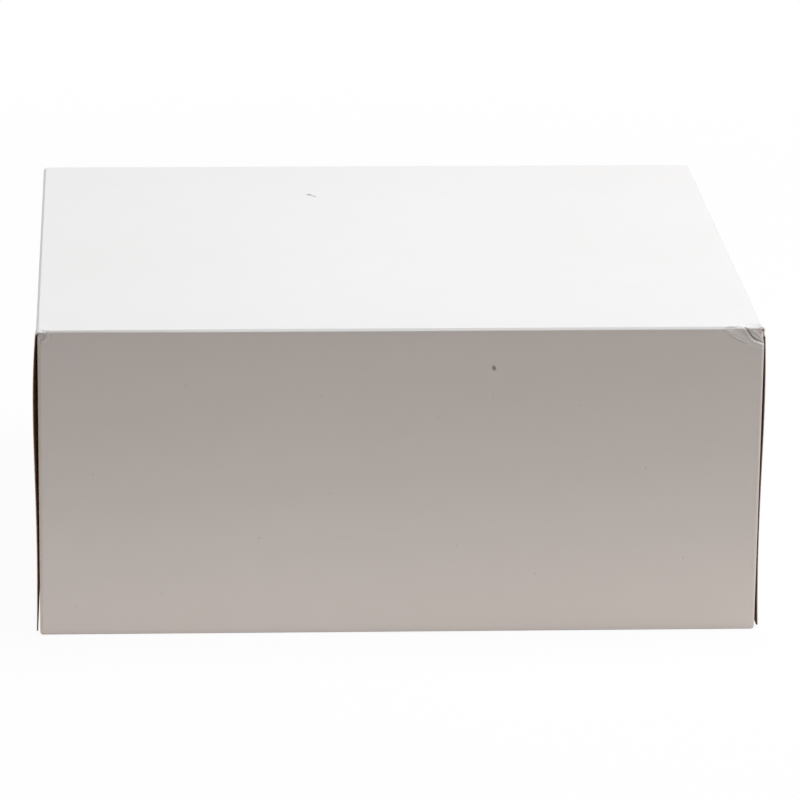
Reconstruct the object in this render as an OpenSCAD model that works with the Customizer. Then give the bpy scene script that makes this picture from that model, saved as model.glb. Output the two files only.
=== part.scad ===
// Cake box folded from one sheet of white paperboard: a tray with a lid hinged
// along its back wall. The lid carries three flaps that hang down outside the tray.
// The origin is the middle of the box on the table, +Z is up, the front faces -Y.

/* [Box] */
// Width across the folds of the two side flaps
box_w = 230; // [150:1:400]
// Depth from the front fold to the back fold
box_d = 230; // [150:1:400]
// Height from the table to the top of the lid
box_h = 100.4; // [50:0.2:200]

/* [Board] */
// Thickness of the paperboard
board_t = 0.45; // [0.3:0.05:0.8]
// Inside radius of every fold
fold_inner_r = 0.45; // [0.2:0.05:1.2]
// Slit between the two halves of a fold that opens
fold_slit = 0.06; // [0.03:0.01:0.2]

/* [Front flap] */
// Distance from the table to the flap's bottom edge
front_lift = 0.4; // [0.2:0.1:3]
// Distance from the side folds to the flap's side edges
front_relief = 0.45; // [0.2:0.05:3]
// How far the right edge runs in from top to bottom
front_taper = 0.9; // [0:0.1:5]
// Radius of the bottom corners
front_corner_r = 1; // [0.5:0.1:10]

/* [Side flaps] */
// Distance from the table to the bottom edges
side_lift = 1.1; // [0.2:0.1:5]
// Gap between the front flap's inner face and the front edges
side_front_gap = 0.6; // [0.3:0.1:5]
// Distance from the back fold to the back edges
side_back_relief = 1.2; // [0.5:0.1:10]
// Radius of the bottom corners
side_corner_r = 1; // [0.5:0.1:10]
// Outward bow of the left flap, a quarter of the way down
left_bow = 1.25; // [0:0.05:4]
// Inward sag of the left flap, two thirds of the way down
left_sag = 0; // [0:0.05:2]
// Outward flare of the left flap at its bottom edge
left_flare = 0.7; // [0:0.05:4]
// Outward bow of the right flap, a quarter of the way down
right_bow = 0.5; // [0:0.05:4]
// Inward sag of the right flap, two thirds of the way down
right_sag = 0.8; // [0:0.05:2]
// Outward flare of the right flap at its bottom edge
right_flare = 0.35; // [0:0.05:4]

/* [Tray] */
// Play between the tray's walls and the flaps
flap_play = 0.4; // [0.3:0.05:3]
// Play between the tray's front and side walls and the lid
lid_play = 0.3; // [0.2:0.05:1]
// Length of the glued corner tabs
tab_l = 38; // [15:1:60]
// Distance from the wall's edges to the tabs' edges at the fold
tab_relief = 1.5; // [1:0.1:5]
// How far the tabs' edges slope in towards their free ends
tab_slope = 6; // [0:0.5:12]

/* [Hidden] */

$fn = 48;
over = 1;
bow_steps = 14;
white = [0.94, 0.935, 0.925];
side_colour = [0.86, 0.845, 0.82];
tray_colour = [0.66, 0.53, 0.40];

fold_r = fold_inner_r + board_t;
fold_z = box_h - fold_r;
slit_shift = fold_slit * sqrt(2);

front_face_y = -box_d / 2;
back_face_y = box_d / 2;
tray_w = box_w - 2 * (board_t + max(left_sag, right_sag) + flap_play);
tray_front_y = front_face_y + board_t + flap_play;
tray_d = back_face_y - tray_front_y;
tray_mid_y = (back_face_y + tray_front_y) / 2;
wall_top = box_h - board_t - lid_play;
side_front_y = front_face_y + board_t + side_front_gap;
side_back_y = back_face_y - side_back_relief;

// Sweeps a section drawn in Y and Z along X, centred
module along_x(length) {
    rotate([90, 0, 90]) linear_extrude(length, center = true) children();
}

// Sweeps a section drawn in X and Z along Y, centred
module along_y(length) {
    rotate([90, 0, 0]) linear_extrude(length, center = true) children();
}

// Board bent round a fold, as a full ring about the fold's centre
module fold_ring() {
    difference() {
        circle(fold_r);
        circle(fold_inner_r);
    }
}

// Half of an opening fold that turns down from its middle into a flap or wall
module lower_half_fold() {
    intersection() {
        fold_ring();
        polygon([[slit_shift, 0], [2 * fold_r, 0], [2 * fold_r, 2 * fold_r - slit_shift]]);
    }
}

// Lid's outer section between the middles of two opposite folds
module lid_outer_section(span) {
    translate([-span / 2 + fold_r, 0]) square([span - 2 * fold_r, fold_r]);
    for (side = [-1, 1])
        translate([side * (span / 2 - fold_r), 0])
            intersection() {
                circle(fold_r);
                polygon([[0, 0], [side * 2 * fold_r, 2 * fold_r], [0, 2 * fold_r]]);
            }
}

// Hollow under the lid, rounded like the inside of its folds
module lid_inner_section(span) {
    translate([-span / 2 + fold_r, -over]) square([span - 2 * fold_r, over + fold_inner_r]);
    for (side = [-1, 1])
        translate([side * (span / 2 - fold_r), 0]) circle(fold_inner_r);
}

// Flat top of the box with the upper half of each of its four folds
module lid_panel() {
    color(white)
        translate([0, 0, fold_z])
            difference() {
                intersection() {
                    along_y(box_d) lid_outer_section(box_w);
                    along_x(box_w) lid_outer_section(box_d);
                }
                intersection() {
                    along_y(box_d) lid_inner_section(box_w);
                    along_x(box_w) lid_inner_section(box_d);
                }
            }
}

// Outline of the front flap seen from the front, wide at the fold
module front_outline() {
    half_w = box_w / 2 - front_relief;
    run_in = front_taper * (1 - front_corner_r / (fold_z - front_lift));
    left = -half_w + front_corner_r;
    right = half_w - run_in - front_corner_r;
    low = front_lift + front_corner_r;
    translate([left, low]) circle(front_corner_r);
    translate([right, low]) circle(front_corner_r);
    polygon([
        [left, front_lift],
        [right, front_lift],
        [right, low],
        [half_w - run_in, low],
        [half_w, fold_z],
        [half_w, box_h],
        [-half_w, box_h],
        [-half_w, low],
        [left, low],
    ]);
}

// Full-depth flap at the front of the lid
module front_flap() {
    color(side_colour)
        intersection() {
            translate([0, front_face_y + fold_r, fold_z])
                mirror([0, 1, 0])
                    along_x(box_w) {
                        lower_half_fold();
                        translate([fold_inner_r, -fold_z]) square([board_t, fold_z]);
                    }
            along_y(box_d + 2 * over) front_outline();
        }
}

// Outward distance of a side flap from its fold, u from 0 at the fold to 1 at the bottom
function side_offset(u, bow, sag, flare) =
    bow * u * pow(1 - u, 3) * 256 / 27 - sag * pow(u, 2) * (1 - u) * 27 / 4 + flare * pow(u, 3);

// Side flap's board below its fold in section, bent by its bow, sag and flare
module side_section(bow, sag, flare) {
    flap_l = fold_z - side_lift;
    steps = [for (i = [0:bow_steps]) i / bow_steps];
    outer = [for (u = steps) [fold_r + side_offset(u, bow, sag, flare), -flap_l * u]];
    inner = [for (i = [bow_steps:-1:0]) [outer[i][0] - board_t, outer[i][1]]];
    polygon(concat(outer, inner));
}

// Outline of a side flap seen from the side
module side_outline() {
    low = side_lift + side_corner_r;
    front = side_front_y + side_corner_r;
    back = side_back_y - side_corner_r;
    translate([front, low]) circle(side_corner_r);
    translate([back, low]) circle(side_corner_r);
    translate([side_front_y, low]) square([side_back_y - side_front_y, box_h - low]);
    translate([front, side_lift]) square([back - front, side_corner_r]);
}

// Full-depth flap at one side of the lid; side is -1 for left and 1 for right
module side_flap(side, bow, sag, flare) {
    color(side_colour)
        intersection() {
            translate([side * (box_w / 2 - fold_r), 0, fold_z])
                mirror([side < 0 ? 1 : 0, 0, 0]) {
                    along_y(box_d) lower_half_fold();
                    along_y(box_d) side_section(bow, sag, flare);
                }
            along_x(box_w + 4 * (bow + flare + over)) side_outline();
        }
}

module left_flap() {
    side_flap(-1, left_bow, left_sag, left_flare);
}

module right_flap() {
    side_flap(1, right_bow, right_sag, right_flare);
}

// Wall in section, turned up from the base by a fold; its outer face is at x = 0
module wall_section(top) {
    translate([-board_t, fold_r]) square([board_t, top - fold_r]);
    translate([-fold_r, fold_r])
        intersection() {
            fold_ring();
            translate([0, -fold_r]) square(fold_r);
        }
}

// Corner tab: the side wall's end, folded in and glued flat inside the wall it meets.
// Drawn for the front right corner with the two outer faces meeting at the origin.
module corner_tab() {
    low = fold_r + tab_relief;
    high = wall_top - tab_relief;
    translate([-fold_r, fold_r + board_t, low])
        linear_extrude(high - low)
            intersection() {
                fold_ring();
                translate([0, -fold_r]) square(fold_r);
            }
    translate([0, 2 * board_t, 0])
        rotate([90, 0, 0])
            linear_extrude(board_t)
                polygon([
                    [-fold_r, low],
                    [-tab_l, low + tab_slope],
                    [-tab_l, high - tab_slope],
                    [-fold_r, high],
                ]);
}

// Base, four walls and four glued corner tabs; the back wall ends in its half of the hinge
module tray() {
    color(tray_colour) {
        translate([0, tray_mid_y, board_t / 2])
            cube([tray_w - 2 * fold_r, tray_d - 2 * fold_r, board_t], center = true);
        translate([0, back_face_y, 0]) along_x(tray_w) wall_section(fold_z);
        translate([0, back_face_y - fold_r, fold_z]) along_x(tray_w) lower_half_fold();
        translate([0, tray_front_y, 0])
            mirror([0, 1, 0]) along_x(tray_w) wall_section(wall_top);
        for (side = [-1, 1])
            translate([side * tray_w / 2, tray_mid_y, 0])
                mirror([side < 0 ? 1 : 0, 0, 0])
                    along_y(tray_d - 2 * (board_t + fold_r)) wall_section(wall_top);
        for (side = [0, 1], end = [0, 1])
            translate([0, tray_mid_y, 0])
                mirror([side, 0, 0])
                    mirror([0, end, 0])
                        translate([tray_w / 2, -tray_d / 2, 0]) corner_tab();
    }
}

tray();
lid_panel();
front_flap();
left_flap();
right_flap();
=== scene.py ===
import math

import bmesh
import bpy
from mathutils import Matrix, Vector, noise


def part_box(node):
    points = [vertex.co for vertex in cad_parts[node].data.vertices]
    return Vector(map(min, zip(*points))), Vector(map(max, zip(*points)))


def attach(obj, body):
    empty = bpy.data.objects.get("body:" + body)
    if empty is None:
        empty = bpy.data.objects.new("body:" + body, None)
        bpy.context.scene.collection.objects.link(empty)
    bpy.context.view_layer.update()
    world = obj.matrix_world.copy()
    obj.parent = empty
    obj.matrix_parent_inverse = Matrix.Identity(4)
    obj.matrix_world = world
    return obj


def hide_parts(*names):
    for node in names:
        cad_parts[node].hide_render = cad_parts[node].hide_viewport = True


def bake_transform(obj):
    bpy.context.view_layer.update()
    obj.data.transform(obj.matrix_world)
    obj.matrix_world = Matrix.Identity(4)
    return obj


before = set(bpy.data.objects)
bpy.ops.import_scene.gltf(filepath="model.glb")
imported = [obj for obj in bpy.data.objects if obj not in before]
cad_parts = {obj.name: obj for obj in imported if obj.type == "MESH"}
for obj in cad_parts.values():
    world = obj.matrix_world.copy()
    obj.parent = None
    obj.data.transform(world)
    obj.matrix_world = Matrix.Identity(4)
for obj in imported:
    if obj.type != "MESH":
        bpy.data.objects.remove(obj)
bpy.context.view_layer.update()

# The cake box is one folded sheet of paperboard, white outside and brown kraft inside.
# Lengths are in metres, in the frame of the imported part: the front faces -Y and +Z is up.
MM = 0.001
SIDEWAYS = (1, 0, 0)
BACKWARDS = (0, 1, 0)
UPWARDS = (0, 0, 1)
# Places nearer to each other than this count as the same
TOUCH = 0.02 * MM

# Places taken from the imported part; the right flap mirrors the left one
LID_LOW, LID_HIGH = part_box("lid_panel")
TRAY_LOW, TRAY_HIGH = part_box("tray")
FRONT_LOW, FRONT_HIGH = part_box("front_flap")
LEFT_LOW, LEFT_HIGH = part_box("left_flap")

# The board and its folds
BOARD_T = 0.45 * MM
FOLD_R = 0.9 * MM
FOLD_STEPS = 10
# Flat board that each narrow fold strip keeps on both sides of its bend
FOLD_RIM = 0.5 * MM
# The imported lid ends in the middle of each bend, which lies this far inside the fold's face
HALF_FOLD_IN = FOLD_R * (1 - math.cos(math.radians(45)))
TOP_Z = LID_HIGH.z
FOLD_Z = TOP_Z - FOLD_R
FRONT_Y = LID_LOW.y - HALF_FOLD_IN
BACK_Y = LID_HIGH.y + HALF_FOLD_IN
SIDE_X = LID_HIGH.x + HALF_FOLD_IN

# The front flap: its right edge runs in from the fold to the bottom
FRONT_HALF_W = FRONT_HIGH.x
FRONT_TAPER = 0.9 * MM
FRONT_CORNER_R = 1.0 * MM
# How far the crushed corners reach back over the lid and down the flap
LID_STRIP = 6.0 * MM
FLAP_STRIP = 9.0 * MM
# The strip's cells, small enough for its creases
FRONT_COLUMNS = 390
STRIP_CELL = 0.15 * MM
# The blunt scored folds: how far from the sharp corner their narrow flat lies, and its lean
FOLD_FLAT = 0.53 * MM
FOLD_LEAN = 45
# Towards the left the front fold's bend gets tighter, and its flat narrower and steeper: by how
# much, from where and over what length
LEFT_TIGHTER = 0.5 * MM
TIGHTER_FROM = 50 * MM
TIGHTER_LENGTH = 110 * MM
LEFT_NARROWER = 0.19 * MM
LEFT_STEEPER = 11
STEEPER_FROM = -50 * MM
STEEPER_LENGTH = 60 * MM
# The left corner's knuckle: how far it reaches in and back, where its flat lies and its lean
KNUCKLE_IN = 2.9 * MM
KNUCKLE_FADE = 1.4 * MM
KNUCKLE_BACK = 1.5 * MM
KNUCKLE_FLAT = 0.6 * MM
KNUCKLE_LEAN = 27
# The flap's right edge is turned back and bows out below the fold
ROLL_WIDTH = 0.9 * MM
ROLL_DEPTH = 0.42 * MM
EDGE_OUT = 0.2
EDGE_BOW = 0.15
# The flap's left edge has lost its coating, and a faint line of painted shade runs beside it,
# standing in for the shade of a shallow groove
BARE_EDGE = 0.45 * MM
BARE_SOFTNESS = 0.2 * MM
PAINTED_LINE_PLACE = BARE_EDGE + 0.3 * MM
PAINTED_LINE_WIDTH = 0.22 * MM
PAINTED_LINE_SHADE = 0.13
# Where the flap is divided for them, in millimetres from each edge
RIGHT_EDGE_CUTS = (0.12, 0.25, 0.38, 0.52, 0.7, 0.9)
LEFT_EDGE_CUTS = (0.35, 0.55, 0.75, 0.95, 1.2)

# The side flaps
SIDE_LIFT = LEFT_LOW.z
SIDE_FRONT_Y = LEFT_LOW.y
SIDE_BACK_Y = LEFT_HIGH.y
SIDE_CORNER_R = 1.0 * MM
# How each is bent: bow near the top at its front and at its back edge, shoulder just below the
# fold at its front edge, sag further down, flare at the bottom, and the part of the bow that only
# the front edge has, its curl. The pale end is how far down its cut ends are chalky white.
LEFT_BEND = {
    "bow": 1.25 * MM,
    "back_bow": 0.15 * MM,
    "shoulder": 0.3 * MM,
    "sag": 0.0,
    "flare": 0.7 * MM,
    "curl": 1.0 * MM,
    "pale_end": 1.3 * MM,
}
RIGHT_BEND = {
    "bow": 0.7 * MM,
    "back_bow": 0.3 * MM,
    "shoulder": 0.1 * MM,
    "sag": 0.4 * MM,
    "flare": 0.15 * MM,
    "curl": 0.0,
    "pale_end": 2.6 * MM,
}
# Share of the depth over which a front edge's curl and shoulder die out
CURL_SHARE = 0.04
# Flat board that each side fold keeps above its flap
SIDE_RIM = 2.6 * MM
# How far a side fold's front end reaches forward, and the length that is drawn along with it
SIDE_REACH = 0.95 * MM
SIDE_DRAWN = 1.5 * MM
# Height over which chalky white ends turn to brown ones
PALE_FADE = 0.8 * MM
# Where the shoulder is full and how soon it dies out, as shares of the flap's height
SHOULDER_TOP = 0.009
SHOULDER_FADE = 0.06
# Rows that divide a side flap and the rim above it
SIDE_ROWS = 40
SIDE_RIM_STEPS = 9
# Steps between the cuts from front to back, at the fold's front corner and behind it
FINE_STEP = 0.3 * MM
NEAR_STEP = 1.5 * MM
# Where the far cuts begin and their step, in millimetres
FAR_FROM = 19
FAR_STEP = 7.2

# The tray
WALL_TOP = TOP_Z - BOARD_T - 0.3 * MM
TRAY_HALF_W = TRAY_HIGH.x
TRAY_FRONT_Y = TRAY_LOW.y
TAB_L = 38 * MM
TAB_RELIEF = 1.5 * MM
TAB_SLOPE = 6 * MM
# How far its front wall's upper corners are pressed in, and the lines where that ends
RIGHT_PRESSED = 1.3 * MM
LEFT_PRESSED = 0.3 * MM
RIGHT_PRESSED_X = 99 * MM
LEFT_PRESSED_X = -107 * MM
PRESSED_Z = 88 * MM

# Camera fitted to the box's edges in the photograph
CAMERA_PLACE = Vector((-90.2, -1765.9, 530.7)) * MM
CAMERA_YAW = math.radians(3.112)
CAMERA_PITCH = math.radians(15.340)
CAMERA_ROLL = math.radians(0.4697)
CAMERA_LENS = 244.23


def clear_selection():
    """Leaves edit mode and deselects every object."""
    if bpy.context.object and bpy.context.object.mode == "EDIT":
        bpy.ops.object.mode_set(mode="OBJECT")
    bpy.ops.object.select_all(action="DESELECT")


def make_active(piece):
    """Selects one object alone."""
    clear_selection()
    piece.select_set(True)
    bpy.context.view_layer.objects.active = piece


def open_for_edit(piece, mode="EDGE"):
    """Enters edit mode on a piece with nothing selected and returns its mesh."""
    make_active(piece)
    bpy.ops.object.mode_set(mode="EDIT")
    bpy.ops.mesh.select_mode(type=mode)
    bpy.ops.mesh.select_all(action="DESELECT")
    return bmesh.from_edit_mesh(piece.data)


def close_edit():
    bpy.ops.object.mode_set(mode="OBJECT")


def pick_edges(piece, test):
    """Selects the edges whose two ends both pass a test of their place."""
    bpy.ops.mesh.select_all(action="DESELECT")
    mesh = bmesh.from_edit_mesh(piece.data)
    for edge in mesh.edges:
        if all(test(v.co) for v in edge.verts):
            edge.select_set(True)
    bmesh.update_edit_mesh(piece.data)


def pick_faces(piece, test):
    """Selects the faces whose middle passes a test of its place."""
    bpy.ops.mesh.select_all(action="DESELECT")
    mesh = bmesh.from_edit_mesh(piece.data)
    for face in mesh.faces:
        if test(face.calc_center_median()):
            face.select_set(True)
    bmesh.update_edit_mesh(piece.data)


def cut_through(place, across):
    """Divides the whole open mesh by a plane at a place."""
    bpy.ops.mesh.select_all(action="SELECT")
    bpy.ops.mesh.bisect(plane_co=place, plane_no=across)


def near(a, b):
    return abs(a - b) < TOUCH


def add_sheet(name, low, high):
    """Adds a flat rectangle between two corners; one of its three sizes is nothing."""
    clear_selection()
    size = high - low
    turn = (0, 0, 0)
    scale = (size.x, size.y, 1)
    if size.y == 0:
        turn = (math.radians(90), 0, 0)
        scale = (size.x, size.z, 1)
    if size.x == 0:
        turn = (0, math.radians(90), 0)
        scale = (size.z, size.y, 1)
    bpy.ops.mesh.primitive_plane_add(size=1, location=(low + high) / 2, rotation=turn)
    sheet = bpy.context.object
    sheet.name = name
    sheet.scale = scale
    bpy.ops.object.transform_apply(location=True, rotation=True, scale=True)
    return sheet


def turn_fold(centre, axis):
    """Turns the selected edges by a quarter round a fold's centre, as bent board, by the
    right-hand rule. The spin itself counts its angle the other way."""
    bpy.ops.mesh.spin(steps=FOLD_STEPS, angle=-math.radians(90), center=centre, axis=axis)


def carry_on(move, steps=1):
    """Extrudes the selected edges along a straight stretch, in one or more steps."""
    for _ in range(steps):
        bpy.ops.mesh.extrude_region_move(TRANSFORM_OT_translate={"value": move / steps})


def face_outwards(piece, place, outwards):
    """Turns all faces the same way, so that the one nearest a place looks outwards."""
    open_for_edit(piece, "FACE")
    bpy.ops.mesh.select_all(action="SELECT")
    bpy.ops.mesh.remove_doubles(threshold=0.001 * MM)
    bpy.ops.mesh.normals_make_consistent(inside=False)
    mesh = bmesh.from_edit_mesh(piece.data)
    nearest = min(mesh.faces, key=lambda f: (f.calc_center_median() - place).length)
    nearest.normal_update()
    if nearest.normal.dot(outwards) < 0:
        bpy.ops.mesh.flip_normals()
    close_edit()


def thicken(piece):
    """Gives the white outer sheet its thickness, with kraft inside and cut edges round it."""
    make_active(piece)
    wall = piece.modifiers.new("board", "SOLIDIFY")
    wall.thickness = BOARD_T
    wall.offset = -1
    wall.use_even_offset = True
    wall.use_quality_normals = True
    wall.material_offset = 1
    wall.material_offset_rim = 2
    bpy.ops.object.modifier_apply(modifier=wall.name)


def mark_layers(piece):
    """Marks the kraft side of the board, so that its cut edges can show the layers between."""
    layer = piece.data.attributes.new("layer", "FLOAT", "POINT")
    for face in piece.data.polygons:
        if face.material_index == 1:
            for corner in face.vertices:
                layer.data[corner].value = 1.0


def finish_board(piece, place, outwards):
    """Turns a finished outer sheet into board: finishes, thickness and smooth bends."""
    face_outwards(piece, place, outwards)
    piece.data.materials.clear()
    for finish in (WHITE_BOARD, KRAFT_LINER, CUT_EDGE):
        piece.data.materials.append(finish)
    thicken(piece)
    mark_layers(piece)
    make_active(piece)
    bpy.ops.object.shade_smooth_by_angle(angle=math.radians(40))


def smooth_step(t):
    t = min(1.0, max(0.0, t))
    return t * t * (3 - 2 * t)


def bump_at(distance, width):
    """A round hump: 1 at no distance, fading out over a few widths."""
    return math.exp(-((distance / width) ** 2))


# Nodes of the materials


def fill_in(node, values):
    """Sets some of a node's inputs by their names."""
    for name, value in values.items():
        node.inputs[name].default_value = value


def new_material(name, roughness, specular):
    material = bpy.data.materials.new(name)
    material.use_nodes = True
    shader = material.node_tree.nodes["Principled BSDF"]
    fill_in(shader, {"Roughness": roughness, "Specular IOR Level": specular})
    return material, shader


class Nodes:
    """Short calls for the node tree of one material."""

    def __init__(self, material):
        self.tree = material.node_tree
        self.place = self.tree.nodes.new("ShaderNodeTexCoord").outputs["Object"]

    def link(self, output, socket):
        self.tree.links.new(output, socket)

    def mapped(self, scale, turn=(0, 0, 0), offset=(0, 0, 0)):
        node = self.tree.nodes.new("ShaderNodeMapping")
        fill_in(node, {"Scale": scale, "Rotation": turn, "Location": offset})
        self.link(self.place, node.inputs["Vector"])
        return node.outputs["Vector"]

    def clouds(self, vector, detail=3.0, roughness=0.5):
        node = self.tree.nodes.new("ShaderNodeTexNoise")
        fill_in(node, {"Scale": 1.0, "Detail": detail, "Roughness": roughness})
        self.link(vector, node.inputs["Vector"])
        return node.outputs["Fac"]

    def spread(self, value, low, high, out_low=0.0, out_high=1.0):
        node = self.tree.nodes.new("ShaderNodeMapRange")
        fill_in(node, {"From Min": low, "From Max": high, "To Min": out_low, "To Max": out_high})
        self.link(value, node.inputs["Value"])
        return node.outputs["Result"]

    def maths(self, kind, a, b=None):
        node = self.tree.nodes.new("ShaderNodeMath")
        node.operation = kind
        for socket, value in zip(node.inputs, (a, b)):
            if isinstance(value, (int, float)):
                socket.default_value = value
            elif value is not None:
                self.link(value, socket)
        return node.outputs["Value"]

    def vectors(self, kind, a, b=None):
        """Vector maths on a, with a second vector b that is fixed."""
        node = self.tree.nodes.new("ShaderNodeVectorMath")
        node.operation = kind
        self.link(a, node.inputs[0])
        if b is not None:
            node.inputs[1].default_value = b
        return node

    def mixed(self, share, first, second):
        """Mixes two colours, each a tuple or another node's output."""
        node = self.tree.nodes.new("ShaderNodeMix")
        node.data_type = "RGBA"
        sockets = [s for s in node.inputs if s.type == "RGBA"]
        for socket, value in zip(sockets, (first, second)):
            if isinstance(value, tuple):
                socket.default_value = (*value, 1)
            else:
                self.link(value, socket)
        factor = next(s for s in node.inputs if s.name == "Factor" and s.type == "VALUE")
        if isinstance(share, (int, float)):
            factor.default_value = share
        else:
            self.link(share, factor)
        return next(s for s in node.outputs if s.type == "RGBA")

    def bump(self, height, strength, depth):
        node = self.tree.nodes.new("ShaderNodeBump")
        fill_in(node, {"Strength": strength, "Distance": depth})
        self.link(height, node.inputs["Height"])
        return node.outputs["Normal"]

    def painted(self, name):
        """A value that was painted on the points of the piece."""
        node = self.tree.nodes.new("ShaderNodeAttribute")
        node.attribute_name = name
        return node.outputs["Fac"]

    def dot(self, centre, radius):
        """1 inside a tiny round speck at a place on the object, 0 outside it."""
        reach = self.vectors("DISTANCE", self.place, centre)
        return self.spread(reach.outputs["Value"], radius * 1.3, radius * 0.6)

    def spot(self, centre, half_size, turn=(0, 0, 0)):
        """1 inside a small ellipse at a place on the object, 0 outside it, with a soft edge."""
        shift = self.vectors("SUBTRACT", self.place, centre)
        rotate = self.tree.nodes.new("ShaderNodeMapping")
        rotate.vector_type = "POINT"
        rotate.inputs["Rotation"].default_value = turn
        self.link(shift.outputs["Vector"], rotate.inputs["Vector"])
        stretch = self.vectors("DIVIDE", rotate.outputs["Vector"], half_size)
        reach = self.vectors("LENGTH", stretch.outputs["Vector"])
        return self.spread(reach.outputs["Value"], 1.25, 0.6)


# Finishes of the board

BOARD_WHITE = (0.905, 0.885, 0.862)
BOARD_CREAM = (0.885, 0.862, 0.832)
FLECK_INK = (0.16, 0.17, 0.20)
FLECK_BROWN = (0.20, 0.15, 0.12)
KRAFT_LIGHT = (0.47, 0.285, 0.155)
KRAFT_DARK = (0.35, 0.195, 0.095)
KRAFT_FIBRE = (0.24, 0.125, 0.06)
EDGE_PINK = (0.84, 0.66, 0.58)
EDGE_BROWN = (0.15, 0.085, 0.05)
PULP_TAN = (0.76, 0.665, 0.545)
# Colour of the painted shade in creases, over cracks in the coating
CRACK_AND_PAINTED_SHADE = (0.085, 0.072, 0.062)
TORN_BROWN = (0.52, 0.40, 0.31)


def coated_white():
    """Smooth white clay coating over pulp: faint clouds, tiny flecks, a fine felt grain."""
    material, shader = new_material("white_coated_board", roughness=0.52, specular=0.35)
    n = Nodes(material)
    wide = n.clouds(n.mapped((9, 9, 14)), detail=2.0)
    cloudy = n.clouds(n.mapped((55, 55, 70)), detail=4.0, roughness=0.6)
    tint = n.maths("ADD", n.maths("MULTIPLY", wide, 0.6), n.maths("MULTIPLY", cloudy, 0.4))
    colour = n.mixed(n.spread(tint, 0.3, 0.7), BOARD_WHITE, BOARD_CREAM)
    specks = n.tree.nodes.new("ShaderNodeTexVoronoi")
    specks.inputs["Scale"].default_value = 1.0
    n.link(n.mapped((60, 60, 60), offset=(0.37, 0.11, 0.23)), specks.inputs["Vector"])
    small = n.spread(specks.outputs["Distance"], 0.022, 0.012)
    pick = n.tree.nodes.new("ShaderNodeSeparateColor")
    n.link(specks.outputs["Color"], pick.inputs["Color"])
    few = n.maths("GREATER_THAN", pick.outputs["Red"], 0.82)
    faint = n.maths("MULTIPLY", n.maths("MULTIPLY", small, few), 0.2)
    colour = n.mixed(faint, colour, FLECK_BROWN)
    for x, z, strength in FRONT_SPECKS:
        share = n.maths("MULTIPLY", n.dot((x * MM, FRONT_Y, z * MM), 0.3 * MM), strength)
        colour = n.mixed(share, colour, FLECK_BROWN)
    for x, y, strength in LID_SPECKS:
        share = n.maths("MULTIPLY", n.dot((x * MM, y * MM, TOP_Z), 0.4 * MM), strength)
        colour = n.mixed(share, colour, FLECK_BROWN)
    for centre, half_size, turn, strength, ink in FLECKS:
        share = n.maths("MULTIPLY", n.spot(centre, half_size, turn), strength)
        colour = n.mixed(share, colour, ink)
    frayed = n.clouds(n.mapped((700, 700, 220)), detail=3.0, roughness=0.65)
    bare = n.maths("MULTIPLY", n.painted("bare_edge"), n.spread(frayed, 0.3, 0.6, 0.45, 1.0))
    colour = n.mixed(bare, colour, PULP_TAN)
    colour = n.mixed(n.painted("torn_coat"), colour, TORN_BROWN)
    # Painted shade: darkens the creases, the deep crease's crack and a line beside the left edge
    colour = n.mixed(n.painted("painted_shade_and_cracks"), colour, CRACK_AND_PAINTED_SHADE)
    n.link(colour, shader.inputs["Base Color"])
    felt = n.clouds(n.mapped((900, 900, 900)), detail=3.0, roughness=0.6)
    waves = n.clouds(n.mapped((38, 38, 38)), detail=2.0)
    height = n.maths("ADD", n.maths("MULTIPLY", felt, 0.05), waves)
    n.link(n.bump(height, 0.25, 0.25 * MM), shader.inputs["Normal"])
    return material


def kraft_liner():
    """Unbleached brown side: streaks along the grain, dark fibres, dull."""
    material, shader = new_material("brown_kraft_liner", roughness=0.88, specular=0.15)
    n = Nodes(material)
    streaks = n.clouds(n.mapped((40, 600, 600)), detail=5.0, roughness=0.65)
    clouds = n.clouds(n.mapped((30, 30, 30)), detail=3.0)
    fibres = n.clouds(n.mapped((260, 2600, 2600), turn=(0.2, 0.15, 0.3)), detail=2.0)
    colour = n.mixed(n.spread(streaks, 0.35, 0.65), KRAFT_LIGHT, KRAFT_DARK)
    colour = n.mixed(n.spread(clouds, 0.4, 0.9, 0.0, 0.35), colour, KRAFT_LIGHT)
    colour = n.mixed(n.spread(fibres, 0.66, 0.74, 0.0, 0.55), colour, KRAFT_FIBRE)
    n.link(colour, shader.inputs["Base Color"])
    n.link(n.bump(fibres, 0.35, 0.08 * MM), shader.inputs["Normal"])
    return material


def cut_edge():
    """Die-cut edge: thin pink-white coating outside and dark brown kraft plies inside, or chalky
    white fibres where the layer value is below 0."""
    material, shader = new_material("die_cut_edge", roughness=0.9, specular=0.1)
    n = Nodes(material)
    pulp = n.clouds(n.mapped((900, 900, 900)), detail=4.0, roughness=0.7)
    ragged = n.maths("MULTIPLY", n.maths("SUBTRACT", pulp, 0.5), 0.5)
    depth = n.maths("ADD", n.painted("layer"), ragged)
    brown = n.spread(depth, 0.3, 0.55)
    chalky = n.spread(n.painted("layer"), -0.4, -1.2)
    colour = n.mixed(chalky, n.mixed(brown, EDGE_PINK, EDGE_BROWN), BOARD_CREAM)
    n.link(colour, shader.inputs["Base Color"])
    n.link(n.bump(pulp, 0.5, 0.1 * MM), shader.inputs["Normal"])
    return material


# Flecks of ink and pulp that stand out: centre, half size, turn, strength and colour
FLECKS = [
    ((29.2 * MM, FRONT_Y, 87.4 * MM), (0.6 * MM, 1 * MM, 0.85 * MM), (0, 0.3, 0), 0.8, FLECK_INK),
    ((-22.6 * MM, 70.3 * MM, TOP_Z), (1.0 * MM, 0.8 * MM, 1 * MM), (0, 0, 0.9), 0.85, FLECK_INK),
    ((-21.2 * MM, 68.2 * MM, TOP_Z), (1.7 * MM, 0.42 * MM, 1 * MM), (0, 0, 0.95), 0.7, FLECK_INK),
]
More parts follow.
